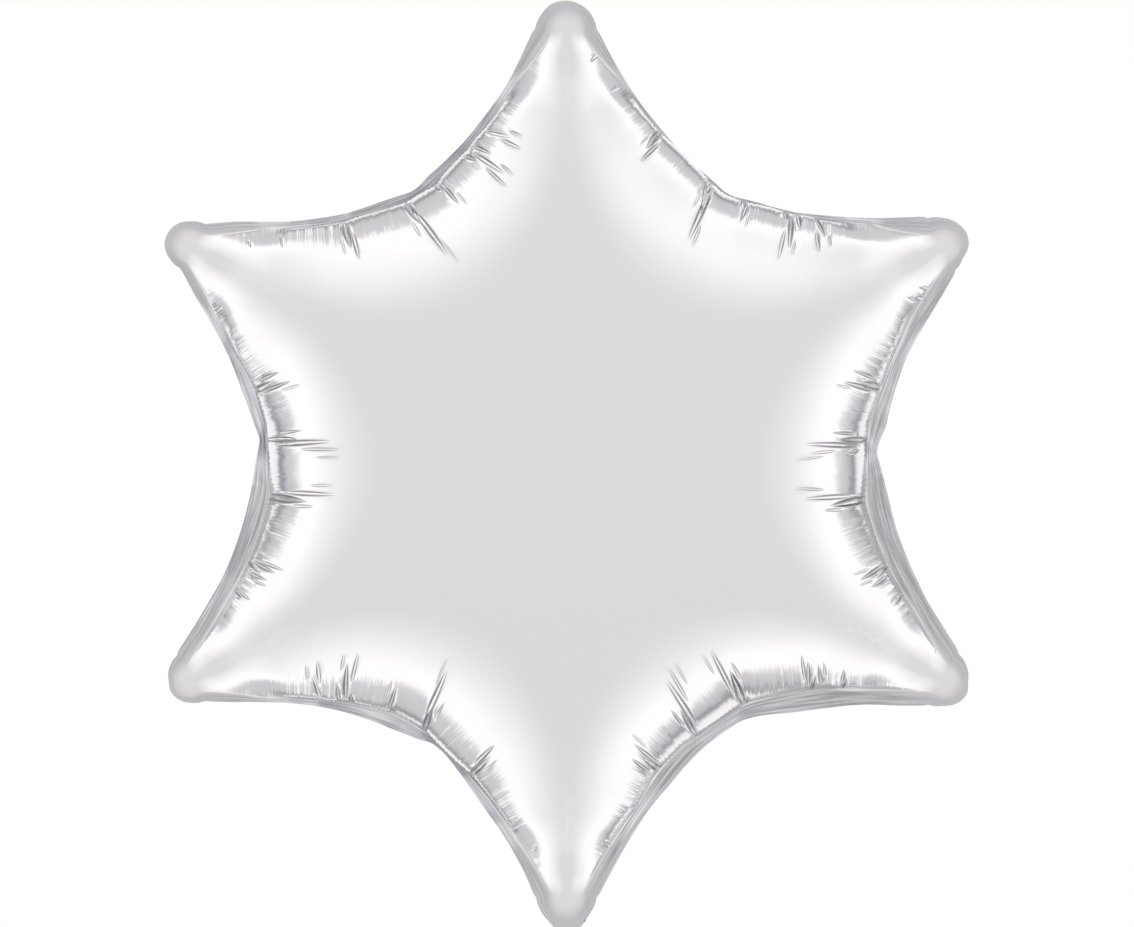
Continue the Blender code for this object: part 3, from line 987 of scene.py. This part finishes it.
def mesh_object(name, points, faces, rows):
    """An object of the given points, with one number for each point in each row."""
    mesh = bpy.data.meshes.new(name)
    mesh.from_pydata([tuple(p) for p in points], [], faces)
    mesh.update()
    for row, values in rows.items():
        layer = mesh.attributes.new(row, "FLOAT", "POINT")
        layer.data.foreach_set("value", np.asarray(values, np.float32))
    mesh.shade_smooth()
    obj = bpy.data.objects.new(name, mesh)
    scene.collection.objects.link(obj)
    return obj


def operator(operation):
    """An operator on node values and the form of it for a number on its left."""
    return (
        lambda self, other: self.nodes.maths(operation, self, other),
        lambda self, other: self.nodes.maths(operation, other, self),
    )


class Value:
    """A node's output that Python's operators can work on."""

    def __init__(self, nodes, socket):
        self.nodes = nodes
        self.socket = socket

    __add__, __radd__ = operator("ADD")
    __sub__, __rsub__ = operator("SUBTRACT")
    __mul__, __rmul__ = operator("MULTIPLY")
    __truediv__, __rtruediv__ = operator("DIVIDE")


class Nodes:
    """The nodes of one material, or of the studio's surroundings."""

    def __init__(self, tree):
        self.tree = tree

    def add(self, kind, inputs=None, output=0, stops=None, **settings):
        """A new node with its settings, a ramp's stops, and the values or links it takes."""
        node = self.tree.nodes.new(kind)
        for name, value in settings.items():
            setattr(node, name, value)
        if stops:
            ramp = node.color_ramp
            while len(ramp.elements) < len(stops):
                ramp.elements.new(0.5)
            for element, (position, colour) in zip(ramp.elements, stops):
                element.position = position
                element.color = (*colour, 1.0)
        self.feed(node, inputs or {})
        return Value(self, node.outputs[output])

    def feed(self, node, inputs):
        """Give a node the values or links that it takes, by the names of its inputs."""
        for name, value in inputs.items():
            if isinstance(value, Value):
                self.tree.links.new(value.socket, node.inputs[name])
            else:
                node.inputs[name].default_value = value

    def maths(self, operation, *values, clamp=False):
        return self.add(
            "ShaderNodeMath", dict(enumerate(values)), operation=operation, use_clamp=clamp
        )

    def mix(self, share, low, high):
        """The colour low where share is 0 and high where it is 1."""
        low, high = (
            (*colour, 1.0) if isinstance(colour, tuple) else colour for colour in (low, high)
        )
        return self.add(
            "ShaderNodeMix", {"Factor": share, 6: low, 7: high}, output=2, data_type="RGBA"
        )

    def streaks(self, across, along):
        """Noise drawn out into streaks that follow the film."""
        place = self.add("ShaderNodeCombineXYZ", {"X": across, "Y": along, "Z": 0.0})
        return self.noise(1.0, 3.0, place=place, Roughness=0.55)

    def noise(self, scale, detail, place=None, **inputs):
        """Noise that stays put on the piece where no other place is given."""
        place = place or self.add("ShaderNodeTexCoord", output=3)
        inputs = {"Vector": place, "Scale": scale, "Detail": detail, **inputs}
        return self.add("ShaderNodeTexNoise", inputs)

    def bump(self, height):
        """The film's normal where its surface stands up by a height in metres."""
        return self.add("ShaderNodeBump", {"Height": height, "Strength": 1.0, "Distance": 1.0})


def new_finish(name, colour, roughness, metallic=1.0):
    mat = bpy.data.materials.new(name)
    mat.use_nodes = True
    nodes = Nodes(mat.node_tree)
    shader = mat.node_tree.nodes["Principled BSDF"]
    nodes.feed(
        shader, {"Base Color": (*colour, 1.0), "Roughness": roughness, "Metallic": metallic}
    )
    return mat, nodes, shader


def film_finish():
    """Mirror bright film: fine creases across the weld, and a duller welded margin."""
    mat, nodes, shader = new_finish("silver_film", BRIGHT_FILM, 0.12)
    along, away, crease, fold, bright = (
        nodes.add("ShaderNodeAttribute", output=2, attribute_name=row)
        for row in ("travel", "away", "crease", "fold", "bright")
    )
    streaks = nodes.streaks(along * 900.0, away * 50.0)
    # Streaks of the margin's crimp, which raise its bumps and roughness and are also painted into
    # its colour
    crimp_shade_and_sheen = nodes.streaks(along * 30.0, away * 1000.0)
    crimp_shade_and_sheen = nodes.maths("ADD", (crimp_shade_and_sheen - 0.5) * 3.4, 0.36, clamp=True)
    slow = nodes.noise(22.0, 4.0)
    dull = nodes.noise(140.0, 2.0)
    pressed = (1 - bright) * crease
    height = streaks * crease * bright * 0.00022 + crimp_shade_and_sheen * pressed * 0.00004 + slow * 0.00001
    rough = 0.11 + (1 - bright) * 0.1 + pressed * crimp_shade_and_sheen * 0.12 + fold * 0.12 + slow * 0.02
    # Painted shade and sheen: the margin's grey is darker in the crimp's low streaks and lighter
    # on its high ones
    margin = nodes.mix(crease, TIP_MARGIN_GREY, nodes.mix(crimp_shade_and_sheen, *ROLLED_SHADE_AND_SHEEN_GREYS))
    # Painted shade: the colour turns to the fold shade along the edges of the folds
    colour = nodes.mix(fold * 0.9, nodes.mix(bright, margin, BRIGHT_FILM), FOLD_SHADE)
    bump = nodes.bump(height + dull * 0.000003)
    nodes.feed(shader, {"Base Color": colour, "Roughness": rough, "Normal": bump})
    return mat


def satin_finish():
    """Welded film, pressed flat and satin."""
    mat, nodes, shader = new_finish("pressed_film", (0.66, 0.66, 0.68), 0.34)
    grain = nodes.noise(400.0, 2.0)
    bump = nodes.bump(grain * 0.00002)
    nodes.feed(shader, {"Roughness": 0.30 + grain * 0.1, "Normal": bump})
    return mat


def clear_finish():
    """Thin clear film of the valve sleeve."""
    mat, nodes, shader = new_finish("clear_sleeve_film", (0.86, 0.88, 0.88), 0.18, 0.0)
    haze = nodes.noise(180.0, 2.0)
    nodes.feed(shader, {"Alpha": 0.48 + haze * 0.2, "Roughness": 0.14 + haze * 0.1})
    return mat


def cool_grey(shade):
    cool = max(COOL_BELOW - shade, 0.0)
    return (shade, *(shade * (1 + turn * cool) for turn in COOL_TURN))


def make_studio():
    """A pale tent of light: grey in front, white beside the balloon, a dark band behind it."""
    world = bpy.data.worlds.new("studio")
    scene.world = world
    world.use_nodes = True
    nodes = Nodes(world.node_tree)
    direction = nodes.add("ShaderNodeTexCoord", output=0)
    x, y, z = (
        nodes.add("ShaderNodeSeparateXYZ", {"Vector": direction}, output=axis)
        for axis in range(3)
    )
    from_front = nodes.maths("ARCCOSINE", y * -1.0)
    from_back = math.pi - from_front
    turn = nodes.maths("ARCTAN2", x, z)
    petals = nodes.maths("COSINE", turn * POINTS)
    fade = nodes.maths("MULTIPLY", from_back, 1.4, clamp=True)
    degrees = from_front * (180 / math.pi) - petals * fade * 8.0
    uneven = 0.5
    for count, level, start in TENT_WAVES:
        wave = nodes.maths("COSINE", turn * count - math.radians(count * start))
        uneven = wave * level + uneven
    early, late, far = (
        nodes.maths("MULTIPLY", degrees - start, 1 / length, clamp=True)
        for start, length in ((85.0, 13), (106.0, 24), (85.0, 23))
    )
    # The tent stays white further round towards each point, which the points' ends mirror
    pointwards = nodes.maths("ADD", petals * 2.2, -0.9, clamp=True)
    shift = uneven * early * 5.0 + late * (4.0 - uneven * 22.0) - far * pointwards * 22.0
    even = nodes.maths("MULTIPLY", from_back, 1.9, clamp=True)
    share = (degrees + shift * even) / 180.0
    stops = [(degree / 180, cool_grey(shade)) for degree, shade in TENT_SHADES]
    light = nodes.add("ShaderNodeValToRGB", {"Fac": share}, stops=stops)
    is_camera = nodes.add("ShaderNodeLightPath", output=0)
    seen = nodes.mix(is_camera, light, (1.0, 1.0, 1.0))
    nodes.feed(nodes.tree.nodes["Background"], {"Color": seen, "Strength": 1.0})


def make_camera():
    """A level view from straight in front, with a long lens."""
    data = bpy.data.cameras.new("level_view")
    camera = bpy.data.objects.new("level_view", data)
    scene.collection.objects.link(camera)
    data.sensor_width = 36
    data.lens = 150
    camera.location = (0.0, -2.551, 0.0)
    camera.rotation_euler = (math.radians(90), 0, 0)
    scene.camera = camera


def make_floor():
    """A pale floor well below the balloon, out of the level view and out of the mirror film."""
    bpy.ops.object.select_all(action="DESELECT")
    bpy.ops.mesh.primitive_circle_add(
        vertices=96, radius=3.0, fill_type="NGON", location=(0, 0, -0.9)
    )
    floor = bpy.context.object
    floor.name = "pale_floor"
    mat, nodes, shader = new_finish("pale_matte_floor", (0.9, 0.9, 0.9), 0.7, 0.0)
    nodes.feed(shader, {"Roughness": 0.66 + nodes.noise(3.0, 2.0) * 0.1})
    floor.data.materials.append(mat)
    floor.visible_glossy = False


silver = film_finish()
satin = satin_finish()
clear = clear_finish()

# The back has the front's folds, each moved a little
front_blades = blade_list(11, 0.0)
back_blades = blade_list(12, 1.5)
front_pinches = pinch_list(11, 0.0)
back_pinches = pinch_list(12, 1.5)
ribs = rib_list(7)
rings = margin_rings(ribs[0], front_pinches, 23)
front = make_film("front_film_panel", -1, ribs, front_blades, front_pinches, rings)
back = make_film("back_film_panel", 1, ribs, back_blades, back_pinches, rings)
band = make_weld_band(rings)

neck_back = make_neck_sheet("neck_back_sheet", -1, NECK_BACK_LENGTH, 3)
neck_front = make_neck_sheet("neck_front_sheet", 1, NECK_FRONT_LENGTH, 4)
weld_run = (NECK_SHOULDER, NECK_WELD_END, NECK_WELD_THICK, NECK_WELD_RIPPLE)
left_weld = model_neck_strip("neck_left_weld", -NECK_WELD_OUT, -NECK_WELD_IN, *weld_run)
right_weld = model_neck_strip("neck_right_weld", NECK_WELD_IN, NECK_WELD_OUT, *weld_run)
sleeve_run = (SLEEVE_START, SLEEVE_END, SLEEVE_THICK, SLEEVE_RIPPLE)
sleeve = model_neck_strip("sleeve_film", -SLEEVE_HALF, SLEEVE_HALF, *sleeve_run)

for piece, body, node, finish, slot in (
    (front, "envelope", "front_panel", silver, "silver_foil"),
    (back, "envelope", "back_panel", silver, "silver_foil"),
    (band, "envelope", "heat_seal", satin, "welded_foil"),
    (neck_back, "neck", "neck_back_film", silver, "silver_foil"),
    (neck_front, "neck", "neck_front_film", silver, "silver_foil"),
    (left_weld, "neck", "neck_seal_left", satin, "welded_foil"),
    (right_weld, "neck", "neck_seal_right", satin, "welded_foil"),
    (sleeve, "neck", "valve_sleeve", clear, "clear_film"),
):
    piece.data.materials.append(finish)
    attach(piece, body)
    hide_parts(node)
fold_sheet = make_fold_sheet()
fold_sheet.data.materials.append(silver)
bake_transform(fold_sheet)

make_studio()
make_camera()
make_floor()
scene.view_settings.view_transform = "Standard"
